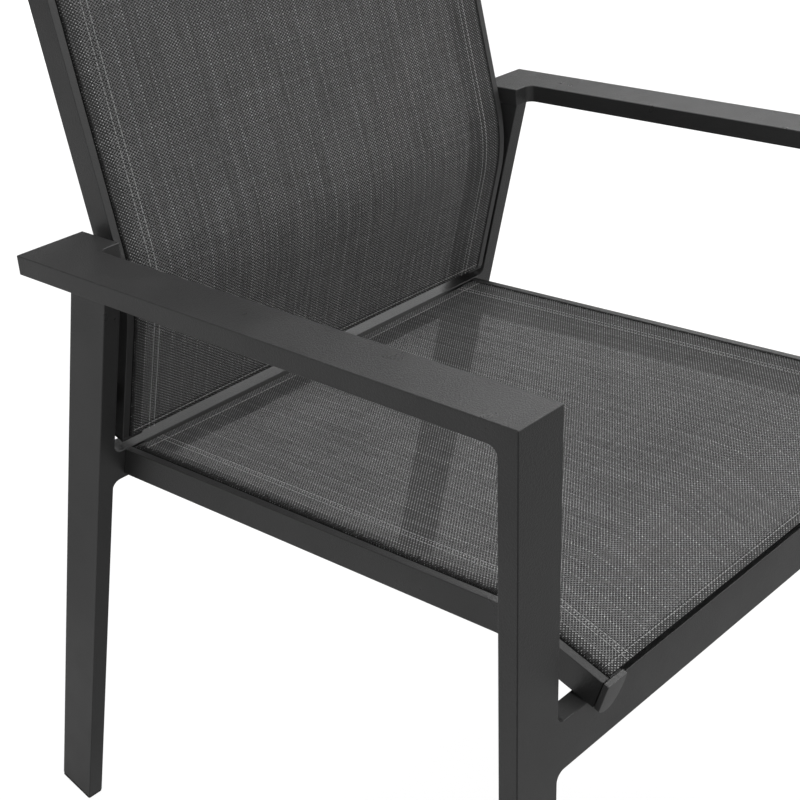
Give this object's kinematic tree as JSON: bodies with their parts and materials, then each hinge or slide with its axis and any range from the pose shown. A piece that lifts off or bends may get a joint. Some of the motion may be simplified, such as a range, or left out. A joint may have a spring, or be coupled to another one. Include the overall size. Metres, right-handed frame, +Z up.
{
  "type": "sling patio chair",
  "caption": "Stacking patio armchair: welded flat-tube frame with sloping arms and splayed legs, carrying a seat sling and a reclined back sling of woven mesh between bent keder rails.",
  "frame": {"origin": "on the floor, under the middle of the chair's bounding box", "axes": "+Z up, -Y to the front of the chair, +X to the sitter's left; the chair is mirrored about X = 0"},
  "size_m": [0.57, 0.597, 0.8999],
  "materials": {
    "powder_coat": "charcoal powder coat, satin, with a fine even grain and slightly brighter edges",
    "rail_cap": "moulded plastic end cap in the frame's charcoal, matte",
    "black_plastic": "black moulded plastic, matte, scuffed where it stands on the floor",
    "sling_fabric": "open woven mesh of charcoal and grey coated yarn, heathered, slightly see-through, with stitched double hems",
    "keder_cord": "dark extruded cord, smooth and matte",
    "zinc_steel": "zinc plated steel"
  },
  "bodies": {
    "root": {"arm_right": "powder_coat", "arm_left": "powder_coat", "front_leg_right": "powder_coat", "front_leg_left": "powder_coat", "rear_leg_right": "powder_coat", "rear_leg_left": "powder_coat", "front_cross_rail": "powder_coat", "rear_cross_rail": "powder_coat", "seat_rail_right": "powder_coat", "seat_rail_left": "powder_coat", "seat_rail_cap_right": "rail_cap", "seat_rail_cap_left": "rail_cap", "back_rail_right": "powder_coat", "back_rail_left": "powder_coat", "back_rail_top_cap_right": "rail_cap", "back_rail_top_cap_left": "rail_cap", "back_rail_foot_cap_right": "rail_cap", "back_rail_foot_cap_left": "rail_cap", "back_top_bar": "powder_coat", "front_foot_cap_right": "black_plastic", "front_foot_cap_left": "black_plastic", "rear_foot_cap_right": "black_plastic", "rear_foot_cap_left": "black_plastic", "seat_sling": "sling_fabric", "back_sling": "sling_fabric", "seat_keder_right": "keder_cord", "seat_keder_left": "keder_cord", "back_keder_right": "keder_cord", "back_keder_left": "keder_cord", "upper_spacer_right": "black_plastic", "upper_spacer_left": "black_plastic", "lower_spacer_right": "black_plastic", "lower_spacer_left": "black_plastic", "upper_insert_right": "zinc_steel", "upper_insert_left": "zinc_steel", "lower_insert_right": "zinc_steel", "lower_insert_left": "zinc_steel", "upper_bolt_right": "zinc_steel", "upper_bolt_left": "zinc_steel", "lower_bolt_right": "zinc_steel", "lower_bolt_left": "zinc_steel"}
  },
  "joints": []
}
